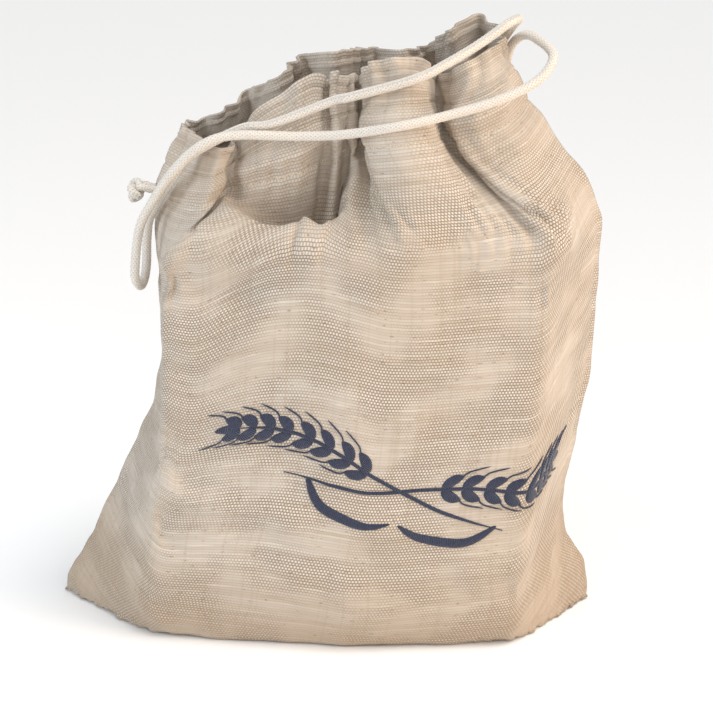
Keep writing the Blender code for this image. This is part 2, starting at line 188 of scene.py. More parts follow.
MOUTH_BACK = np.array([
    (0.097, 0.000, 0.295, 0.087, 0.002, 0.319),
    (0.084, 0.032, 0.295, 0.077, 0.028, 0.327),
    (0.068, 0.016, 0.292, 0.062, 0.016, 0.321),
    (0.051, 0.036, 0.286, 0.051, 0.034, 0.310),
    (0.036, 0.016, 0.281, 0.038, 0.016, 0.310),
    (0.016, 0.036, 0.277, 0.019, 0.034, 0.308),
    (0.000, 0.012, 0.274, 0.004, 0.012, 0.310),
    (-0.016, 0.034, 0.270, -0.017, 0.030, 0.304),
    (-0.030, 0.014, 0.264, -0.026, 0.014, 0.297),
    (-0.048, 0.032, 0.257, -0.046, 0.028, 0.285),
    (-0.062, 0.016, 0.252, -0.056, 0.014, 0.278),
    (-0.078, 0.020, 0.246, -0.070, 0.018, 0.272)])

# %% outlines
MOUTH_STEPS = 24                # points from crest to hollow


def spread(line, count):
    """count places at even steps along a line of rows, its end left out."""
    along = length_along(line[:, :2])
    places = np.linspace(0.0, along[-1], count + 1)[:-1]
    return np.stack([np.interp(places, along, column) for column in line.T])


def body_corners(row):
    """The six-cornered outline of one height, front side and back side, each from seam to seam."""
    left, flx, fly, fmy, frx, fry, right, brx, blx, back = row
    front = [(left, SEAM_Y), (flx, fly), (FRONT_MIDDLE_X, fmy), (frx, fry), (right, SEAM_Y)]
    rear = [(right, SEAM_Y), (brx, 0.9 * back), (FRONT_MIDDLE_X, back), (blx, 0.9 * back),
            (left, SEAM_Y)]
    return np.array(front), np.array(rear)


def smooth_round(ring, over):
    """Values round the bag with their short waves damped, by exp(-2 (pi x over / length)^2)."""
    waves = np.fft.fftfreq(ring.shape[-1], ROUND / ring.shape[-1])
    return np.real(np.fft.ifft(np.fft.fft(ring) * np.exp(-2 * (np.pi * waves * over) ** 2)))


def outline(row, count):
    """The outline of one height with its corners rounded."""
    ring = np.concatenate([spread(side, count // 2) for side in body_corners(row)], axis=1)
    return smooth_round(ring, CORNER_ROUND)


def mouth_ring(count):
    """Tunnel and top edge all round, as one closed smooth curve in six numbers."""
    loop = smooth_through(np.vstack([MOUTH_FRONT, MOUTH_BACK]), MOUTH_STEPS, closed=True)
    cut = MOUTH_STEPS * len(MOUTH_FRONT)
    closed = np.vstack([loop, loop[:1]])
    return np.concatenate([spread(closed[:cut + 1], count // 2), spread(closed[cut:], count // 2)],
                          axis=1)


# %% the standing cloth
LEAVE, ENTER = 0.85, 0.65       # how far the cubic keeps its way at the shoulder and at the tunnel


def standing_cloth(columns, rows):
    """Every column of cloth follows one path: over the ground from the foot seam to the outline, up
    the body outlines to its shoulder, then along a cubic that leaves upwards and enters the tunnel
    in the heading's direction. The part on the ground keeps its length, the rest shares the path."""
    mouth = mouth_ring(columns)
    rings = np.stack([outline(row[1:], columns) for row in BODY])
    levels = BODY[:, 0]
    across = np.linspace(BODY[0, 1], BODY[0, 7], columns // 2 + 1)
    seam_x = np.concatenate([across, across[-2:0:-1]])
    zero = np.zeros(columns)
    seam = np.stack([seam_x, zero + SEAM_Y, zero])
    foot = np.stack([rings[0, 0], rings[0, 1], zero])
    ground = seam[:, :, None] + (foot - seam)[:, :, None] * np.linspace(0, 1, 16)[:-1]
    top = np.interp(np.arange(columns) * ROUND / columns, SHOULDER[:, 0], SHOULDER[:, 1])
    z = top[:, None] * np.linspace(0, 1, 110)
    k = np.clip(np.searchsorted(levels, z, side="right") - 1, 0, len(levels) - 2)
    share = (z - levels[k]) / (levels[k + 1] - levels[k])
    column = np.arange(columns)[:, None] + 0 * k
    wall = np.stack([rings[k, i, column] * (1 - share) + rings[k + 1, i, column] * share
                     for i in (0, 1)] + [z])
    start, end, rise = wall[:, :, -1], mouth[:3], mouth[3:] - mouth[:3]
    reach = np.linalg.norm(end - start, axis=0)
    leave = np.stack([zero, zero, LEAVE * reach])
    enter = ENTER * reach * rise / np.linalg.norm(rise, axis=0)
    t = np.linspace(0, 1, 60)[1:]
    neck = (start[..., None] * (2 * t ** 3 - 3 * t ** 2 + 1)
            + leave[..., None] * (t ** 3 - 2 * t ** 2 + t)
            + end[..., None] * (3 * t ** 2 - 2 * t ** 3) + enter[..., None] * (t ** 3 - t ** 2))
    path = np.concatenate([ground, wall, neck], axis=2)
    along = np.pad(np.cumsum(np.linalg.norm(np.diff(path, axis=2), axis=0), axis=1), ((0, 0), (1, 0)))
    run = np.linalg.norm(foot - seam, axis=0)
    v = np.linspace(0, FLAT_H, rows + 1)
    below = v[v <= TUNNEL_V + 1e-9]
    cloth = np.zeros((3, rows + 1, columns))
    for c in range(columns):
        stretch = (along[c, -1] - run[c]) / (TUNNEL_V - run[c])
        place = np.where(below < run[c], below, run[c] + (below - run[c]) * stretch)
        for i in range(3):
            cloth[i, :len(below), c] = np.interp(place, along[c], path[i, c])
    lift = ((v[len(below):] - TUNNEL_V) / (FLAT_H - TUNNEL_V))[None, :, None]
    cloth[:, len(below):] = mouth[:3, None] * (1 - lift) + mouth[3:, None] * lift
    cloth[2] += GROUND_Z
    return cloth


cloth = standing_cloth(COLUMNS, ROWS)
girth = np.linalg.norm(np.roll(cloth, -1, axis=2) - cloth, axis=0).sum(axis=1)
print("girth from foot to top, mm", [round(1000 * float(x)) for x in girth[::14]],
      "of", round(1000 * ROUND), "flat")

# %% [markdown]
# ## Folds set by hand
# Some folds make the bag what it is: the deep pocket where the cloth falls in under the gathers, the
# lip below it, the great ridge that runs from the mouth over the front. Each is a soft trough or ridge
# along a line on the cloth, pressed in along the cloth's own normal.

# %% soft folds
# from u, v, to u, v, height (out is plus), half width
FOLDS = np.array([
    [0.062, 0.314, 0.120, 0.300, 0.004, 0.012],
    [0.070, 0.335, 0.056, 0.300, 0.004, 0.012],
    [0.040, 0.290, 0.092, 0.276, -0.0050, 0.011],
    [0.088, 0.280, 0.145, 0.264, -0.003, 0.011],
    [0.205, 0.350, 0.180, 0.295, 0.006, 0.018],
    [0.262, 0.310, 0.276, 0.280, 0.003, 0.014],
    [0.310, 0.335, 0.316, 0.262, 0.003, 0.007],
    [0.058, 0.172, 0.118, 0.162, -0.0032, 0.009],
    [0.066, 0.152, 0.130, 0.140, 0.0022, 0.008],
    [0.070, 0.131, 0.145, 0.108, -0.0034, 0.010],
    [0.170, 0.118, 0.262, 0.080, -0.0026, 0.012],
    [0.212, 0.262, 0.288, 0.236, -0.0026, 0.013],
    [0.272, 0.205, 0.300, 0.150, -0.0030, 0.008],
    [0.020, 0.205, 0.044, 0.165, -0.0026, 0.008],
    [0.012, 0.120, 0.048, 0.098, -0.0024, 0.009],
    [0.066, 0.078, 0.170, 0.070, -0.0024, 0.007],
    [0.400, 0.300, 0.470, 0.270, -0.006, 0.020],
    [0.480, 0.320, 0.500, 0.240, 0.004, 0.016],
    [0.560, 0.280, 0.600, 0.200, -0.003, 0.014],
    [0.380, 0.150, 0.450, 0.110, -0.003, 0.018]])


def bell(x, middle, width):
    """exp(-((x - middle) / width)^2)"""
    return np.exp(-((x - middle) / width) ** 2)


def outward(surface):
    """Unit normals of a grid that closes on itself along its last axis."""
    along_u = np.roll(surface, -1, axis=2) - np.roll(surface, 1, axis=2)
    normal = np.cross(along_u, np.gradient(surface, axis=1), axis=0)
    return normal / (np.linalg.norm(normal, axis=0) + 1e-12)


def cloth_places(surface):
    """u and v of every point of a grid."""
    rows, columns = surface.shape[1:]
    return np.meshgrid(np.arange(columns) * ROUND / columns, np.linspace(0, FLAT_H, rows))


def from_seam(u):
    """Distance round the bag from the nearer side seam."""
    return np.minimum(np.minimum(u, ROUND - u), abs(u - FLAT_W))


def near_line(u, v, u0, v0, u1, v1):
    """Distance on the cloth from the line between two places."""
    du, dv = u1 - u0, v1 - v0
    t = np.clip(((u - u0) * du + (v - v0) * dv) / (du ** 2 + dv ** 2), 0, 1)
    return np.hypot(u - u0 - t * du, v - v0 - t * dv)


def press(surface, folds):
    """Adds height x exp(-(distance / width)^2) along the normal for every fold."""
    u, v = cloth_places(surface)
    lift = sum(height * bell(near_line(u, v, *line), 0, width) for *line, height, width in folds)
    return surface + outward(surface) * lift


# %% pockets
# Where the cloth falls in under the gathers: its rim on the cloth, how far it sinks, how soon
POCKET_LEFT = (np.array([
    (0.040, 0.366), (0.055, 0.346), (0.079, 0.328), (0.098, 0.316), (0.122, 0.311), (0.142, 0.311),
    (0.149, 0.328), (0.162, 0.346), (0.186, 0.364)]), 0.040, 0.010)
POCKET_RIGHT = (np.array([
    (0.236, 0.372), (0.240, 0.352), (0.252, 0.334), (0.272, 0.322), (0.288, 0.330), (0.297, 0.348),
    (0.302, 0.372)]), 0.014, 0.012)
SINK_WAY = np.array([0.0, 0.68, -0.78])     # back and down
EVEN_UNTIL = 0.74               # share of the rows between the ground and the tunnel
EVEN_SHARE = 0.96               # of its even length that the wall gets
LEVEL_OVER = 0.030              # smoothing length round the bag


def within(u, v, rim):
    """Distance from the rim, plus inside it and zero outside. A place is inside when a line from it
    towards high u crosses the rim an odd number of times."""
    ends = np.roll(rim, -1, axis=0)
    inside = np.zeros(u.shape, bool)
    for (u0, v0), (u1, v1) in zip(rim, ends):
        if v0 != v1:
            inside ^= ((v0 > v) != (v1 > v)) & (u < u0 + (v - v0) * (u1 - u0) / (v1 - v0))
    near = np.min([near_line(u, v, *a, *b) for a, b in zip(rim[:-1], rim[1:])], axis=0)
    return np.where(inside, near, 0)


def sink(surface, rim, depth, edge):
    """Moves what lies inside the rim down and in, by depth x (1 - exp(-(distance / edge)^2)), and
    less and less near the tunnel, where the cord holds the cloth."""
    u, v = cloth_places(surface)
    smooth_rim = smooth_through(rim, 6)
    amount = depth * (1 - np.exp(-(within(u, v, smooth_rim) / edge) ** 2))
    amount *= np.clip((TUNNEL_V - 0.004 - v) / 0.030, 0, 1) ** 0.7
    return surface + SINK_WAY[:, None, None] * amount


def even_rows(surface):
    """Shares the length of every column between the ground and the tunnel among its rows. The wall's
    rows follow the length smoothed over neighbouring columns, so that the weave runs level there; the
    rows above EVEN_UNTIL share what is left."""
    v = np.linspace(0, FLAT_H, surface.shape[1])
    first, last = np.nonzero((v > 0.06) & (v < TUNNEL_V))[0][[0, -1]]
    steps = np.linalg.norm(np.diff(surface[:, first:last + 1], axis=1), axis=0)
    along = np.pad(np.cumsum(steps, axis=0), ((1, 0), (0, 0)))
    level = smooth_round(along[-1], LEVEL_OVER)
    share = np.linspace(0, 1, last + 1 - first)
    even = surface.copy()
    for c in range(surface.shape[2]):
        places = np.interp(share, [0, EVEN_UNTIL, 1],
                           [0, EVEN_UNTIL * EVEN_SHARE * level[c], along[-1, c]])
        for i in range(3):
            even[i, first:last + 1, c] = np.interp(places, along[:, c], surface[i, first:last + 1, c])
    return even


cloth = press(cloth, FOLDS)
cloth = sink(cloth, *POCKET_LEFT)
cloth = sink(cloth, *POCKET_RIGHT)
cloth = even_rows(cloth)

# %% [markdown]
# ## Letting the cloth go
# Cloth hardly stretches but bends at once, and where there is too much of it, it buckles. So the grid
# is treated as a net: every step, each pair of neighbours is moved back to its distance on the flat
# cloth, pairs further apart only push (that is the stiffness against bending), gravity pulls down what
# lies on nothing, and the filling and the ground push out what sinks into them. The foot seam and the
# tunnel, which the cord holds, stay where they are. The few steps there are let the small folds form
# and leave the big shape alone, and they give the same result each time.

# %% filling
DOME_Z = 0.150                  # above this height the filling rounds over
# place across the bag, height of the filling's top there
FILLING_TOP = np.array([
    [-0.09, 0.200], [-0.04, 0.185], [0.0, 0.190], [0.04, 0.225], [0.10, 0.240], [0.147, 0.230]])
FILLING_SLACK = 0.9985          # the filling is this much smaller than the outline
CRISP = 14                      # how sharp the filling's corners are in plan
DOMED = 3.5                     # and how square its shoulders are


def fullness(points):
    """How deep points lie in the filling: 0 in the middle, 1 on its surface. With r the distance of a
    point towards a side of the six-cornered outline, over that side's own distance from the middle,
    and h its height over DOME_Z as a share of the top's, it is the DOMED-th root of
    (sum of r^CRISP)^(DOMED / CRISP) + h^DOMED. Also gives the middle's x and y."""
    x, y, z = points
    left, flx, fly, fmy, frx, fry, right, brx, blx, back = (
        np.interp(z, BODY[:, 0], column) for column in BODY[:, 1:].T)
    mx, my = 0.5 * (left + right), 0.5 * (fmy + back)
    corners = [(left, SEAM_Y + 0 * z), (flx, fly), (FRONT_MIDDLE_X + 0 * z, fmy), (frx, fry),
               (right, SEAM_Y + 0 * z), (brx, 0.9 * back), (blx, 0.9 * back)]
    total = 0
    for (ax, ay), (bx, by) in zip(corners, corners[1:] + corners[:1]):
        nx, ny = by - ay, ax - bx
        towards = (x - mx) * nx + (y - my) * ny
        side = (ax - mx) * nx + (ay - my) * ny
        total = total + np.maximum(0, towards / side) ** CRISP
    top = np.interp(x, FILLING_TOP[:, 0], FILLING_TOP[:, 1])
    high = np.maximum(0, (z - DOME_Z) / (top - DOME_Z))
    return (total ** (DOMED / CRISP) + high ** DOMED) ** (1 / DOMED) / FILLING_SLACK, mx, my


def hold_out(points):
    """Points in the filling go straight out from its middle axis, those under it down to the ground."""
    depth, mx, my = fullness(points)
    under = (points[2] < 0.010) & (depth < 0.97)
    inside = (depth < 1) & ~under
    push = np.where(inside, 1 / np.maximum(depth, 0.3), 1)
    above = inside & (points[2] > DOME_Z)
    points[0] = mx + (points[0] - mx) * push
    points[1] = my + (points[1] - my) * push
    points[2] = np.where(above, DOME_Z + (points[2] - DOME_Z) * push, points[2])
    points[2] = np.where(under, np.minimum(points[2], GROUND_Z), points[2])
    np.maximum(points[2], GROUND_Z, out=points[2])


# %% net
COARSE_STEPS, FINE_STEPS = 100, 40
COARSE_WEIGHT, FINE_WEIGHT = 1.2e-5, 0.5e-5     # fall in one step
BEND = 0.25                     # how far the cloth resists bending
KEEP_MOVING = 0.85              # share of a step's movement kept for the next one
FASTEST = 0.0015                # furthest that a point goes in a step
FREE_FROM = 1.02                # fullness past which cloth lies on nothing


def pull(near, far, rest, firm, squash=1.0, push_only=False):
    """How far a pair's ends move: half the error in length, along the line between them."""
    line = far - near
    length = np.linalg.norm(line, axis=0) + 1e-9
    error = length - rest
    error = np.where(error < 0, error * squash, 0 if push_only else error)
    return line * (0.5 * firm * error / length)


def across_pairs(points, gap, rest, firm, **ways):
    """Pairs gap columns apart, in two passes so that no point is in two pairs at once."""
    columns = points.shape[2]
    for first in range(2):
        a = np.nonzero((np.arange(columns) // gap) % 2 == first)[0]
        b = (a + gap) % columns
        move = pull(points[:, :, a], points[:, :, b], rest[:, a], firm, **ways)
        points[:, :, a] += move
        points[:, :, b] -= move


def upright_pairs(points, gap, rest, firm, squash, **ways):
    """Pairs gap rows apart. squash says, column by column, how far the cloth resists being short."""
    rows = points.shape[1]
    for first in range(2):
        a = np.nonzero(((np.arange(rows) // gap) % 2 == first) & (np.arange(rows) + gap < rows))[0]
        move = pull(points[:, a], points[:, a + gap], rest[a], firm, squash, **ways)
        points[:, a] += move
        points[:, a + gap] -= move


def distances(points, gap, axis):
    """From every point to the one gap further along; past the last row it is not used."""
    return np.linalg.norm(np.roll(points, -gap, axis=axis) - points, axis=0)


def firmness(columns, rows):
    """How strongly each place keeps to the tables' shape: the standing walls much, the cloth
    under the gathers little."""
    v = np.linspace(0, FLAT_H, rows)[:, None]
    u = np.arange(columns)[None] * ROUND / columns
    wall = 0.10 * np.clip((0.30 - v) / 0.05, 0.05, 1)
    foot = 0.3 * np.clip((0.035 - v) / 0.02, 0, 1)
    return wall + foot + 0.08 * bell(from_seam(u), 0, 0.012)


def let_go(points, steps, weight):
    """steps rounds of the net, with the foot seam, tunnel and heading held."""
    rows, columns = points.shape[1:]
    held_from = int(round((TUNNEL_V - 0.006) * (rows - 1) / FLAT_H))
    kept_top, kept_foot = points[:, held_from:].copy(), points[:, 0].copy()
    seam = from_seam(np.arange(columns) * ROUND / columns)
    squash = 0.25 * np.clip((seam - 0.05) / 0.04, 0, 1)
    firm = firmness(columns, rows)
    wanted = points.copy()
    wide = {gap: distances(wanted, gap, 2) for gap in (1, 2, 4)}
    tall = {gap: distances(wanted, gap, 1) for gap in (1, 2, 4)}
    wide[1] = np.maximum(wide[1], ROUND / columns)
    tall[1] = np.maximum(tall[1], FLAT_H / (rows - 1))
    speed = np.zeros_like(points)
    for step in range(steps):
        before = points.copy()
        if step % 10 == 0:
            free = fullness(points)[0] > FREE_FROM
        points += KEEP_MOVING * speed
        points[2] -= weight * free
        across_pairs(points, 1, wide[1], 1.0)
        upright_pairs(points, 1, tall[1], 1.0, squash)
        for gap, share in ((2, BEND), (4, 0.4 * BEND)):
            across_pairs(points, gap, wide[gap], share, push_only=True)
            upright_pairs(points, gap, tall[gap], share, 1.0, push_only=True)
        points += firm * (wanted - points)
        hold_out(points)
        points[:, held_from:], points[:, 0] = kept_top, kept_foot
        speed = points - before
        speed *= np.minimum(1, FASTEST / np.maximum(np.linalg.norm(speed, axis=0), 1e-9))
    return points


def finer(points):
    """Twice as many meshes each way: a new point between b and c of a run a, b, c, d is
    (9b + 9c - a - d) / 16."""
    side = [np.roll(points, k, axis=2) for k in (1, 0, -1, -2)]
    between = (9 * (side[1] + side[2]) - side[0] - side[3]) / 16
    wide = np.stack([points, between], axis=3).reshape(3, points.shape[1], -1)
    first, last = 2 * wide[:, :1] - wide[:, 1:2], 2 * wide[:, -1:] - wide[:, -2:-1]
    edge = np.concatenate([first, wide, last], axis=1)
    between = (9 * (edge[:, 1:-2] + edge[:, 2:-1]) - edge[:, :-3] - edge[:, 3:]) / 16
    tall = np.zeros((3, 2 * points.shape[1] - 1, wide.shape[2]))
    tall[:, ::2], tall[:, 1::2] = wide, between
    return tall


cloth = let_go(cloth, COARSE_STEPS, COARSE_WEIGHT)
cloth = finer(cloth)
cloth = let_go(cloth, FINE_STEPS, FINE_WEIGHT)
print("cloth after letting go", cloth.shape[1:], "points")

# %% [markdown]
# ## The two panels
# The two pieces of cloth meet at the side seams and the foot, and the drawn cord puckers them beside
# the tunnel. Puckers, the two lines of stitching that make the tunnel, the turned-in hem at the top and
# the ridge of the side seams are all small lifts along the normal, so they are added as one height over
# the cloth. Rows lie closer together at the top, where these things are.

# %% fine relief
STITCH_V = (0.3475, 0.3685)     # the two seams of the tunnel
HEM_V = 0.386                   # the lower edge of the turned-in top hem
FINE_FROM = 0.334               # rows lie closer together above this
WALL_ROWS, TOP_ROWS = 168, 57
PUCKER = 0.0126                 # from pucker to pucker along the tunnel
LOWEST_Z = 0.0004               # nothing of the cloth goes under this


def rows_at(surface, v):
    """The surface at other rows: Catmull-Rom along v through the four nearest rows."""
    count = surface.shape[1] - 1
    place = np.clip(v / FLAT_H, 0, 1) * count
    k = np.minimum(place.astype(int), count - 1)
    t = (place - k)[None, :, None]
    a, b, c, d = (surface[:, np.clip(k + i, 0, count)] for i in (-1, 0, 1, 2))
    return cubic(a, b, c, d, t)


def wander(u, v, seed, count, shortest, longest):
    """A sum of sine waves of random way and phase, each as high as it is long; about -1 to 1."""
    rng = np.random.default_rng(seed)
    length = shortest * (longest / shortest) ** rng.random(count)
    way, phase = rng.random((2, count)) * 2 * np.pi
    waves = [l * np.sin(2 * np.pi * (u * np.cos(w) + v * np.sin(w)) / l + p)
             for l, w, p in zip(length, way, phase)]
    return sum(waves) / np.sqrt(0.5 * (length ** 2).sum())


def relief(u, v):
    """Height over the cloth in metres. Puckers are ripples in u whose phase wanders; they are highest
    at the stitching and die away below it."""
    turns = 2 * np.pi * u / PUCKER + 2.2 * wander(u, v, 5, 8, 0.03, 0.09)
    ripple = np.sin(turns) + 0.4 * np.sin(0.53 * turns + 1.0)
    drawn = np.where(v < STITCH_V[0], np.exp((v - STITCH_V[0]) / 0.013), 1.0)
    height = 0.0007 * ripple * drawn
    above = np.clip((v - STITCH_V[1]) / (FLAT_H - STITCH_V[1]), 0, 1)
    height = height + 0.0019 * above * np.sin(0.8 * turns + 0.7)
    for line in STITCH_V:
        height = height - 0.0008 * bell(v, line, 0.0011)
    height = height + 0.0010 * bell(v, TUNNEL_V, 0.0065)
    hem = 0.0006 * np.clip((v - HEM_V) / 0.0008, 0, 1)
    height = height + hem - 0.0005 * bell(v, HEM_V - 0.0006, 0.0010)
    for seam in (0, FLAT_W, ROUND):
        height = height + 0.0014 * bell(u, seam, 0.0022) - 0.0005 * bell(abs(u - seam), 0.0050, 0.0016)
    calm = np.clip(v / 0.02, 0, 1)
    return height + calm * 0.00035 * wander(u, v, 9, 30, 0.012, 0.05)


v_rows = np.concatenate([np.linspace(0, FINE_FROM, WALL_ROWS)[:-1],
                         np.linspace(FINE_FROM, FLAT_H, TOP_ROWS)])
fine = rows_at(cloth, v_rows)
u_all, v_all = np.meshgrid(np.arange(fine.shape[2]) * ROUND / fine.shape[2], v_rows)
fine_normal = outward(fine)
raised = relief(u_all, v_all)
fine = fine + fine_normal * raised + MODEL_SHIFT[:, None, None]
fine[2] = np.maximum(fine[2], LOWEST_Z)
fine_normal = outward(fine)
print("fine cloth", fine.shape[1:], "relief from", round(1000 * float(raised.min()), 2),
      "to", round(1000 * float(raised.max()), 2), "mm")

# %% panel meshes
CLOTH_THICK = 0.0011


def new_mesh(name, points, faces, uv):
    """A piece from points (n, 3), a list of faces and a place on the cloth or cord for each point."""
    mesh = bpy.data.meshes.new(name)
    mesh.from_pydata(points.tolist(), [], faces)
    corner = np.empty(len(mesh.loops), np.int32)
    mesh.loops.foreach_get("vertex_index", corner)
    mesh.uv_layers.new(name="place").data.foreach_set("uv", uv[corner].astype(np.float32).ravel())
    mesh.shade_smooth()
    piece = bpy.data.objects.new(name, mesh)
    bpy.context.collection.objects.link(piece)
    return piece


def grid_faces(rows, columns, closed=False):
    """Four corners of every mesh of a grid, which may close on itself along its columns."""
    a = np.arange(rows * columns).reshape(rows, columns)
    if closed:
        a = np.hstack([a, a[:, :1]])
    return np.stack([a[:-1, :-1], a[:-1, 1:], a[1:, 1:], a[1:, :-1]], axis=-1).reshape(-1, 4)


def panel(name, first):
    """One panel from seam to seam, with the cloth's thickness laid inwards."""
    half = fine.shape[2] // 2
    columns = (np.arange(half + 1) + first) % fine.shape[2]
    points = fine[:, :, columns]
    u = np.broadcast_to((np.arange(half + 1) + first) * ROUND / fine.shape[2], points.shape[1:])
    v = np.broadcast_to(v_rows[:, None], u.shape)
    piece = new_mesh(name, points.reshape(3, -1).T, grid_faces(*u.shape).tolist(),
                     np.stack([u.ravel(), v.ravel()], axis=1))
    shell = piece.modifiers.new("cloth thickness", "SOLIDIFY")
    shell.thickness = CLOTH_THICK
    shell.offset = -1
    return piece


front_cloth = panel("front_cloth", 0)
back_cloth = panel("back_cloth", fine.shape[2] // 2)
for piece, node in ((front_cloth, "front_panel"), (back_cloth, "back_panel")):
    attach(piece, "root")
    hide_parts(node)
    print(piece.name, 4 * len(piece.data.polygons), "triangles with its thickness")

# %% [markdown]
# ## A small way to write shaders
# The weave, the braid and the satin stitch are formulas. With a wrapper round a node's output, a
# formula can be written as sums and products and becomes Math nodes by itself.

# %% shader sums
def math_node(operation, swap=False):
    """A method that makes a Math node of one operation; swap puts the other term first."""
    def method(self, *others):
        terms = (*others, self) if swap else (self, *others)
        return self.node("ShaderNodeMath", {"operation": operation}, dict(enumerate(terms)))
    return method


class Value:
    """One output of a node. + - * / with another output or a number makes a Math node."""

    __add__ = math_node("ADD")
    __sub__ = math_node("SUBTRACT")
    __rsub__ = math_node("SUBTRACT", swap=True)
    __mul__ = math_node("MULTIPLY")
    __truediv__ = math_node("DIVIDE")
    sin = math_node("SINE")
    abs = math_node("ABSOLUTE")
    floor = math_node("FLOOR")

    def __init__(self, tree, socket):
        self.tree, self.socket = tree, socket

    def put(self, target, value):
        """Links an output to an input, or sets a plain value on it."""
        if isinstance(value, Value):
            self.tree.links.new(value.socket, target)
        else:
            target.default_value = value

    def node(self, kind, settings=None, inputs=None, out=0):
        """A node of any type: its settings first, then its inputs by name or number."""
        made = self.tree.nodes.new(kind)
        for name, value in (settings or {}).items():
            setattr(made, name, value)
        for name, value in (inputs or {}).items():
            self.put(made.inputs[name], value)
        return Value(self.tree, made.outputs[out])

    def ramp(self, low, high):
        """0 at low, 1 at high, smooth between."""
        return self.node("ShaderNodeMapRange", {"interpolation_type": "SMOOTHSTEP"},
                         {0: self, 1: low, 2: high})

    def vector(self, x, y):
        """x and y as one flat place."""
        return self.node("ShaderNodeCombineXYZ", {}, {0: x, 1: y})

    def noise(self, x, y, detail=2.0):
        """Soft noise of scale 1 at (x, y), from 0 to 1."""
        return self.node("ShaderNodeTexNoise", {"noise_dimensions": "2D"},
                         {"Vector": self.vector(x, y), "Scale": 1.0, "Detail": detail})

    def lot(self, x, y):
        """An unrelated number from 0 to 1 for every whole x and y."""
        return self.node("ShaderNodeTexWhiteNoise", {"noise_dimensions": "2D"},
                         {"Vector": self.vector(x, y)})

    def mix(self, share, first, second):
        """first x (1 - share) + second x share, of two colours."""
        return self.node("ShaderNodeMix", {"data_type": "RGBA"}, {0: share, 6: first, 7: second}, out=2)


def new_material(name, roughness, sheen=0.0):
    """A material with its shader, and x and y of the piece's own places in metres."""
    material = bpy.data.materials.new(name)
    material.use_nodes = True
    tree = material.node_tree
    shader = tree.nodes["Principled BSDF"]
    shader.inputs["Roughness"].default_value = roughness
    shader.inputs["Sheen Weight"].default_value = sheen
    shader.inputs["Sheen Roughness"].default_value = 0.6
    shader.inputs["Specular IOR Level"].default_value = 0.25
    start = tree.nodes.new("ShaderNodeUVMap")
    start.uv_map = "place"
    place = Value(tree, start.outputs[0])
    apart = place.node("ShaderNodeSeparateXYZ", {}, {0: place})
    return material, shader, apart, Value(tree, apart.socket.node.outputs[1])


def finish(shader, colour, height, distance, strength=1.0):
    """Colour and a bump of the given height go into the shader."""
    colour.put(shader.inputs["Base Color"], colour)
    bump = colour.node("ShaderNodeBump", {},
                       {"Strength": strength, "Distance": distance, "Height": height})
    colour.put(shader.inputs["Normal"], bump)


def paint(red, green, blue):
    """A colour named by its 0-255 values on a screen, as the linear numbers a shader wants."""
    screen = np.array([red, green, blue]) / 255
    linear = np.where(screen < 0.04045, screen / 12.92, ((screen + 0.055) / 1.055) ** 2.4)
    return (*linear.tolist(), 1.0)


# %% [markdown]
# ## Half-linen
# Pale cotton warp and a thicker weft of unbleached flax, both hand-spun in look: every thread has its
# own tone, its width comes and goes, and here and there a slub or a fleck of straw. The weave is plain,
# so over and under alternate like a chessboard: sin(x) sin(y) is a high pale hump where the weft lies on
# top, a low one where the warp does, and zero in the gaps between, where it is dark.

# %% linen
WARP, WEFT = 0.00082, 0.00160        # from thread to thread

linen, shader, x, y = new_material("linen", 0.92, sheen=0.12)
wide_x = x.noise(x * 14, y * 14, 1.0) - 0.5
wide_y = x.noise(x * 9 + 7.3, y * 16 + 3.1, 1.0) - 0.5
fine_y = x.noise(x * 160 + 1.7, y * 420, 1.0) - 0.5
warp = (x + wide_x * 0.0008) / WARP
weft = (y + wide_y * 0.0005 + fine_y * 0.00025) / WEFT
rib = (weft * np.pi).sin().abs()
hump = (warp * np.pi).sin() * (weft * np.pi).sin()
over = hump.ramp(-0.75, 0.75)
below_tunnel = y.ramp(0.345, 0.300) * 0.6 + 0.4         # the weave shows less in the gathers
clear = x.noise(x * 24 + 3, y * 30, 2.0).ramp(0.30, 0.62) * below_tunnel
between = rib.ramp(0.60, 0.0) * (clear * 0.75 + 0.25)
weft_tone = x.lot(weft.floor(), 3.0)
streak = x.noise(x * 26 + weft.floor() * 7.7, weft.floor() * 3.3, 2.0)
slub = streak.ramp(0.62, 0.82)
thin = streak.ramp(0.42, 0.24)
cloudy = x.noise(x * 14 + 5, y * 14, 3.0)
warp_line = x.noise(x * 420, y * 9, 1.0)
straw = x.noise(x * 260, y * 900 + 9, 0.0).ramp(0.80, 0.87)
flax = x.mix(weft_tone, paint(213, 202, 190), paint(231, 223, 213))
woven = x.mix(over * clear + (1.0 - clear) * 0.55, paint(164, 147, 128), flax)
for share, tone in ((slub * 0.5, (230, 219, 204)),                         # a thick pale stretch
                    (thin * 0.30, (166, 147, 122)),                        # a thin dark one
                    (between * 0.92, (98, 80, 60)),                        # the gap between threads
                    (warp_line.ramp(0.5, 0.8) * 0.20, (160, 138, 110)),
                    (cloudy.ramp(0.35, 0.7) * 0.16, (180, 158, 130)),
                    # painted shade: the cloth is darkened towards the foot, where it is shaded near the
                    # ground
                    (y.ramp(0.125, 0.060) * 0.42, (160, 134, 104)),        # darker towards the foot
                    (straw * 0.5, (126, 100, 70))):
    woven = x.mix(share, woven, paint(*tone))
height = over * clear * 0.5 - between * 0.7 + slub * 0.4 + weft_tone * 0.15
finish(shader, woven, height, 0.0004, 0.8)
front_cloth.data.materials.append(linen)
back_cloth.data.materials.append(linen)
print("linen threads per 10 cm", round(0.1 / WARP), "x", round(0.1 / WEFT))

# %% [markdown]
# ## The drawcord
# A 5 mm round braid of soft cotton. Braiding leads half of the strands round to the left and half to
# the right, so the surface is a net of diamonds: the sum of two waves that wind opposite ways. The
# rings follow the cord without twist: each ring's side is the last one's, turned with the cord.

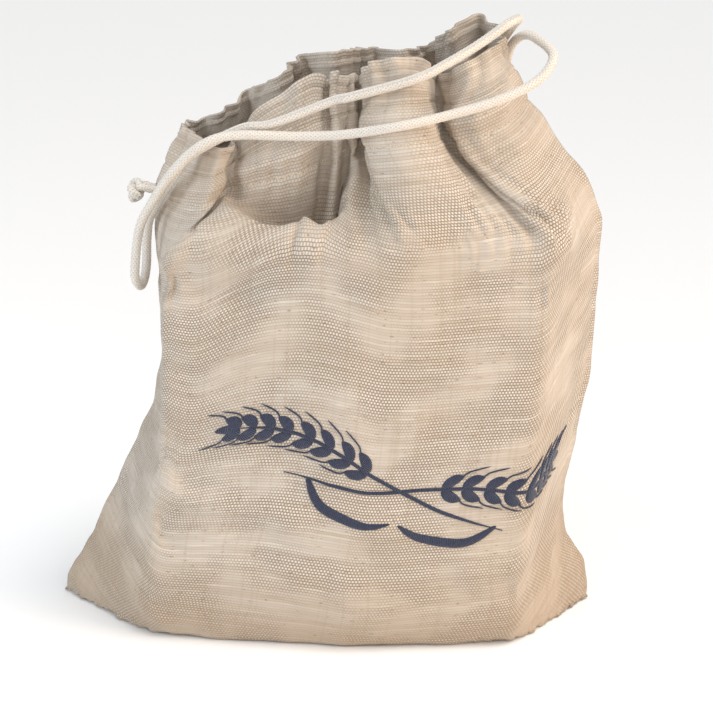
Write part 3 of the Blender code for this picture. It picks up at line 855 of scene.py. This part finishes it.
# %% cord mesh
CORD_SIDES = 32
BRAID_STRANDS = 8
BRAID_RISE = 0.0025             # along the cord from diamond to diamond
BRAID_LIFT = 0.00026
BRAID_OVER = 0.0001             # the strands' tops over the nominal radius


def sides_of(line):
    """Two unit directions square to the line at every point. The first is a fixed direction made
    square to the line, smoothed by carrying it from point to point."""
    ahead = np.gradient(line, axis=0)
    ahead /= np.linalg.norm(ahead, axis=1, keepdims=True)
    side = np.zeros_like(line)
    last = np.array([0.3, 0.2, 1.0])
    for k, way in enumerate(ahead):
        last = last - way * (last @ way)
        last /= np.linalg.norm(last)
        side[k] = last
    return ahead, side, np.cross(ahead, side)


def tube(name, line, radius, sides):
    """A closed tube along a line: rings of points, rounded ends, and places in metres for the braid."""
    ahead, side, up = sides_of(line)
    along = length_along(line)
    end = np.minimum(along, along[-1] - along)
    round_end = np.sqrt(np.clip(1 - (1 - np.clip(end / radius, 0.0, 1)) ** 2, 0.02, 1))
    turn = np.arange(sides) / sides * 2 * np.pi
    phase = BRAID_STRANDS * turn[None, :]
    climb = 2 * np.pi * along[:, None] / BRAID_RISE
    net = 0.5 * (np.cos(phase + climb) + np.cos(phase - climb))
    reach = (radius - BRAID_LIFT + BRAID_LIFT * net)[..., None] * round_end[:, None, None]
    ring = np.cos(turn)[None, :, None] * side[:, None] + np.sin(turn)[None, :, None] * up[:, None]
    points = (line[:, None] + reach * ring).reshape(-1, 3)
    faces = grid_faces(len(line), sides, closed=True)[:, ::-1]
    uv = np.stack(np.broadcast_arrays(turn[None, :] / (2 * np.pi), along[:, None]), axis=-1)
    uv = uv.reshape(-1, 2)
    first, last = len(points), len(points) + 1
    points = np.vstack([points, line[0], line[-1]])
    uv = np.vstack([uv, [0.5, 0.0], [0.5, along[-1]]])
    k = np.arange(sides)
    start = np.stack([k, np.roll(k, -1), np.full(sides, first)], axis=1)
    close = len(line) * sides - sides
    finish_cap = np.stack([close + np.roll(k, -1), close + k, np.full(sides, last)], axis=1)
    mesh_faces = faces.tolist() + start.tolist() + finish_cap.tolist()
    return new_mesh(name, points, mesh_faces, uv)


drawn_cord = tube("drawn_cord", cord_line, CORD_D / 2 + BRAID_OVER, CORD_SIDES)
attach(drawn_cord, "root")
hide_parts("drawcord_loop")
print("cord faces", len(drawn_cord.data.polygons))

# %% [markdown]
# ## The knot
# Both ends of the cord are knotted into one small tight knot outside the left seam. Its line is a
# three-lobed knot: a circle's turn with a second turn twice as fast, weaving in and out three times.
# Two short stretches of the cord lead from the knot back to the seam, side by side.

# %% knot
KNOT_PLACE = np.array([-0.1040, 0.0030, 0.2370]) + MODEL_SHIFT
KNOT_SIZE = 0.00165
KNOT_RADIUS, KNOT_SIDES = 0.0023, 16        # pulled tight, the cord is a little thinner
END_APART, END_UP = 0.0024, 0.003
# from knot to seam: x in metres, y in END_APART, z in END_UP
TO_SEAM = np.array([(0.0, 0.6, 0.2), (0.004, 1.1, 0.9), (0.009, 0.9, 0.5), (0.0155, 0.5, 0.6)])

t = np.linspace(0, 2 * np.pi, 151)
knot_line = KNOT_PLACE + KNOT_SIZE * np.stack(
    [1.2 * np.sin(3 * t), np.cos(t) - 2 * np.cos(2 * t), np.sin(t) + 2 * np.sin(2 * t)], axis=1)
knot_pieces = [tube("end_knot", knot_line, KNOT_RADIUS, KNOT_SIDES)]
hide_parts("cord_knot")
for hand, name in ((-1, "knot_end_front"), (1, "knot_end_back")):
    bends = KNOT_PLACE + TO_SEAM * [1, END_APART * hand, END_UP]
    end_line, end_length = evenly(smooth_through(bends, 10), RING_STEP)
    knot_pieces.append(tube(name, end_line, KNOT_RADIUS, KNOT_SIDES))
    print(name, round(1000 * end_length), "mm")
for piece in knot_pieces:
    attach(piece, "root")
print("knot from", np.round(knot_line.min(axis=0), 4), "to", np.round(knot_line.max(axis=0), 4))

# %% cotton cord material
cotton_cord, shader, x, y = new_material("cotton_cord", 0.88, sheen=0.2)
phase = x * (2 * np.pi * BRAID_STRANDS)
climb = y * (2 * np.pi / BRAID_RISE)
net = ((phase + climb + np.pi / 2).sin() + (phase - climb + np.pi / 2).sin()) * 0.5
hair = x.noise(x * 60, y * 900, 2.0)
# painted shade: the hollows between the braid's strands are darkened
valley_shade = net.ramp(-0.25, -0.95)
colour = x.mix(hair.ramp(0.3, 0.7), paint(216, 207, 196), paint(236, 229, 219))
colour = x.mix(valley_shade * 0.5, colour, paint(150, 136, 118))
finish(shader, colour, net * 0.7 + hair * 0.3, 0.0003, 0.7)
for piece in (drawn_cord, *knot_pieces):
    piece.data.materials.append(cotton_cord)

# %% [markdown]
# ## Work on the cloth
# Stitches and embroidery are small padded shapes that follow the cloth. A place (u, v) on the grid is
# looked up between its four neighbours, for the point and for the normal, so anything drawn flat in u
# and v bends with every fold, just as thread does that was sewn into flat cloth before it was gathered.

# %% places on the cloth
def on_cloth(u, v, lift):
    """Points lift above the cloth at (u, v), by interpolation between the four grid points round it."""
    columns = fine.shape[2]
    across = (u / ROUND * columns) % columns
    along = np.interp(v, v_rows, np.arange(len(v_rows)))
    i, k = across.astype(int), np.minimum(along.astype(int), len(v_rows) - 2)
    p, q = across - i, along - k
    j = (i + 1) % columns

    def between(grid):
        return ((1 - p) * (1 - q) * grid[:, k, i] + p * (1 - q) * grid[:, k, j]
                + (1 - p) * q * grid[:, k + 1, i] + p * q * grid[:, k + 1, j])

    return between(fine) + between(fine_normal) * lift


class Padding:
    """Gathers many small closed shapes on the cloth into one piece."""

    def __init__(self):
        self.points, self.faces, self.places, self.count = [], [], [], 0

    def stroke(self, line, width, height, sides):
        """A padded stroke along a line of (u, v), as wide as width at each row: its section is an
        ellipse of that width, sunk a little into the cloth, and its two ends close in a point."""
        ahead = np.gradient(line, axis=0)
        ahead /= np.linalg.norm(ahead, axis=1, keepdims=True) + 1e-12
        side = np.stack([-ahead[:, 1], ahead[:, 0]], axis=1)
        turn = np.arange(sides) / sides * 2 * np.pi
        reach = 0.5 * width[:, None] * np.cos(turn)
        lift = height * (0.25 + np.sin(turn)) * np.minimum(1, width / width.max() * 1.6)[:, None]
        u = line[:, :1] + reach * side[:, :1]
        v = line[:, 1:] + reach * side[:, 1:]
        along = length_along(line)
        rows = len(line)
        ring = on_cloth(u.ravel(), v.ravel(), lift.ravel()).T
        ends = on_cloth(line[[0, -1], 0], line[[0, -1], 1], np.full(2, 0.25 * height)).T
        k = np.arange(sides)
        base = (rows - 1) * sides
        caps = np.vstack([np.stack([np.roll(k, -1), k, k * 0 + rows * sides], axis=1),
                          np.stack([base + k, base + np.roll(k, -1), k * 0 + rows * sides + 1], axis=1)])
        self.faces += (grid_faces(rows, sides, closed=True) + self.count).tolist()
        self.faces += (caps + self.count).tolist()
        self.points.append(np.vstack([ring, ends]))
        place = np.stack([reach, np.broadcast_to(along[:, None], reach.shape)], axis=-1).reshape(-1, 2)
        self.places.append(np.vstack([place, [[0, 0], [0, along[-1]]]]))
        self.count += rows * sides + 2

    def piece(self, name, slot):
        """One object of all the strokes so far."""
        made = new_mesh(name, np.vstack(self.points), self.faces, np.vstack(self.places))
        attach(made, "root")
        print(name, len(made.data.polygons), "faces")
        return made


# %% [markdown]
# ## Stitching
# Two lines of lockstitch make the tunnel for the cord. A stitch is 2.8 mm of thread, and the machine
# pulls each end into the cloth, so a stitch is widest in its middle. None is laid over a seam's ridge.

# %% stitches
STITCH_PITCH, STITCH_LONG, STITCH_WIDE, STITCH_HIGH = 0.0036, 0.0028, 0.0007, 0.00038
SEAM_CLEAR = 0.003

stitching = Padding()
stitch_rows = np.linspace(-0.5, 0.5, 5)
stitch_width = STITCH_WIDE * np.array([0.45, 0.95, 1.0, 0.95, 0.45])
for line_v in STITCH_V:
    for start_u in np.arange(0.004, ROUND - 0.004, STITCH_PITCH):
        if abs(start_u - FLAT_W) > SEAM_CLEAR:
            line = np.stack([start_u + stitch_rows * STITCH_LONG, line_v + 0 * stitch_rows], axis=1)
            stitching.stroke(line, stitch_width, STITCH_HIGH, sides=6)
tunnel_stitches = stitching.piece("tunnel_stitches", "sewing_thread")

# %% [markdown]
# ## Embroidery
# Across the front runs a band of dark blue satin stitch. Here it is two crossed ears of wheat, a plain
# old baker's ornament. A grain is one leaf-shaped stroke; grains sit in pairs along a curved stalk and
# get smaller to the tip, each pair with its two thin awns.

# %% wheat ears
SPRIG_LEFT = np.array([0.079, 0.192])       # on the cloth
SPRIG_TILT = np.radians(-15.0)
SPRIG_LONG = 0.220
SATIN_HIGH = 0.00065
GRAIN_WIDE, AWN_WIDE, STALK_WIDE, LEAF_WIDE = 0.0056, 0.0009, 0.0021, 0.0052
sprig = Padding()


def sprig_place(s, t):
    """From places along and across the band to u and v."""
    way = np.array([np.cos(SPRIG_TILT), np.sin(SPRIG_TILT)])
    side = np.array([-way[1], way[0]])
    return SPRIG_LEFT + np.multiply.outer(s, way) + np.multiply.outer(t, side)


def leaf_width(share, wide):
    """A pointed leaf: the sine of the way along, a little fuller towards its foot."""
    return wide * np.sin(np.pi * share ** 0.8) ** 0.75 + 0.0003


def satin(rows, wide, leaf, count=18):
    """One stroke through a few rows of (s, t), leaf-shaped or of even width."""
    line = smooth_through(np.array(rows, float), 12)
    line = line[np.linspace(0, len(line) - 1, count).round().astype(int)]
    share = np.linspace(0.0, 1.0, count)
    if leaf:
        width = leaf_width(share, wide)
    else:
        width = wide * np.clip(6 * np.minimum(share, 1 - share), 0.3, 1)
    sprig.stroke(sprig_place(line[:, 0], line[:, 1]), width, SATIN_HIGH, sides=10)


def ear(mirror):
    """A stalk with its grains; mirror turns it round to run the other way along the band."""
    def across(s, t):
        """A place on this ear, from the band's other end if it is turned round."""
        return (SPRIG_LONG - s, t) if mirror else (s, t)

    stalk = np.array([(0.050, -0.017), (0.085, -0.012), (0.120, -0.002), (0.150, 0.004), (0.180, 0.005),
                      (0.203, 0.002)])
    satin([across(*row) for row in stalk], STALK_WIDE, leaf=False, count=48)
    curve = smooth_through(stalk, 20)
    bends = np.gradient(curve, axis=0)
    for share in np.linspace(0.46, 0.985, 8):
        k = int(share * (len(curve) - 1))
        foot, lean = curve[k], np.arctan2(bends[k, 1], bends[k, 0])
        long = 0.0150 - 0.0035 * share
        grain = (0.50, long, GRAIN_WIDE, 0.0012, True)
        awn = (0.44, 2.0 * long, AWN_WIDE, 0.8 * long, False)
        for hand in (-1, 1):
            for spread_by, far, wide, start, leaf in (grain, awn):
                turn = lean + hand * spread_by
                way = np.array([np.cos(turn), np.sin(turn)])
                bulge = np.array([-way[1], way[0]]) * hand * 0.10 * far
                rows = [foot + way * start, foot + way * 0.6 * far + bulge, foot + way * far + 0.3 * bulge]
                satin([across(*row) for row in rows], wide, leaf, 14)
    satin([across(*row) for row in (curve[-1], curve[-1] + [0.013, -0.0025])], LEAF_WIDE, True, 14)


ear(mirror=False)
ear(mirror=True)
for rows in ([(0.062, -0.015), (0.075, -0.027), (0.098, -0.028), (0.112, -0.023)],
             [(0.166, -0.015), (0.153, -0.027), (0.130, -0.028), (0.116, -0.023)]):
    satin(rows, LEAF_WIDE, True, 30)
embroidery = sprig.piece("wheat_embroidery", "embroidery_thread")

# %% thread materials
sewing_thread, shader, x, y = new_material("sewing_thread", 0.75)
ply = (y * (2 * np.pi / 0.0011) + x * 1800).sin()
colour = x.mix(ply.ramp(-1, 1), paint(200, 184, 158), paint(228, 216, 195))
finish(shader, colour, ply, 0.0001, 0.5)
tunnel_stitches.data.materials.append(sewing_thread)

embroidery_thread, shader, x, y = new_material("embroidery_thread", 0.48, sheen=0.3)
lay = (y * (2 * np.pi / 0.00095) + x * 2600 + (x.noise(x * 500, y * 500, 1.0) - 0.5) * 3.0).sin()
# streaks of loose fibre, raised in the bump; the paler blue mixed into them is a painted highlight
fibre_and_highlight = x.noise(y * 2600, x * 300, 1.0)
navy = x.mix(lay.ramp(-0.9, 0.9), paint(12, 18, 42), paint(27, 41, 78))
navy = x.mix(fibre_and_highlight.ramp(0.55, 0.8) * 0.6, navy, paint(46, 66, 110))
finish(shader, navy, lay * 0.8 + fibre_and_highlight * 0.3, 0.0003, 0.9)
embroidery.data.materials.append(embroidery_thread)

# %% [markdown]
# ## Floor and light
# A pale floor in a white room. A broad soft light stands almost overhead, a cool lamp on the left, a
# weak one in front and a warm one low on the right, so the bag is lit all round and shows its folds.

# %% floor
FLOOR_SIZE, FLOOR_PALE, FLOOR_ROUGH = 8, 0.93, 0.62

bpy.ops.mesh.primitive_plane_add(size=FLOOR_SIZE)
floor = bpy.context.object
floor.name = "floor"
floor_paint = bpy.data.materials.new("floor")
floor_paint.use_nodes = True
floor_shader = floor_paint.node_tree.nodes["Principled BSDF"]
floor_shader.inputs["Base Color"].default_value = (FLOOR_PALE, FLOOR_PALE, FLOOR_PALE, 1)
floor_shader.inputs["Roughness"].default_value = FLOOR_ROUGH
floor.data.materials.append(floor_paint)
print("floor", FLOOR_SIZE, "m wide")

# %% light
ROOM_STRENGTH, SUN_STRENGTH, SUN_SPREAD = 0.41, 1.95, np.radians(34)

bpy.context.scene.view_settings.view_transform = "Standard"
world = bpy.data.worlds.new("studio")
bpy.context.scene.world = world
world.use_nodes = True
background = world.node_tree.nodes["Background"]
background.inputs["Color"].default_value = (0.97, 0.985, 1.0, 1)
background.inputs["Strength"].default_value = ROOM_STRENGTH


def soft_light(name, place, size, watts, colour):
    """A square lamp that looks at the middle of the bag."""
    lamp = bpy.data.lights.new(name, "AREA")
    lamp.size, lamp.energy, lamp.color = size, watts, colour
    body = bpy.data.objects.new(name, lamp)
    body.location = place
    body.rotation_euler = (Vector(place) - BAG_MIDDLE).to_track_quat("Z", "Y").to_euler()
    bpy.context.collection.objects.link(body)


sun = bpy.data.lights.new("window light", "SUN")
sun.energy, sun.angle, sun.color = SUN_STRENGTH, SUN_SPREAD, (1.0, 0.98, 0.96)
sun_body = bpy.data.objects.new("window light", sun)
sun_body.rotation_euler = Vector((0.38, -0.12, 1.0)).to_track_quat("Z", "Y").to_euler()
bpy.context.collection.objects.link(sun_body)
soft_light("cool light", (-1.0, -0.5, 0.5), 0.5, 5.0, (0.80, 0.90, 1.0))
soft_light("front light", (0.25, -1.4, 1.1), 1.2, 6.0, (1.0, 0.99, 0.98))
soft_light("warm light", (1.1, -0.5, 0.40), 0.5, 6.5, (1.0, 0.72, 0.46))
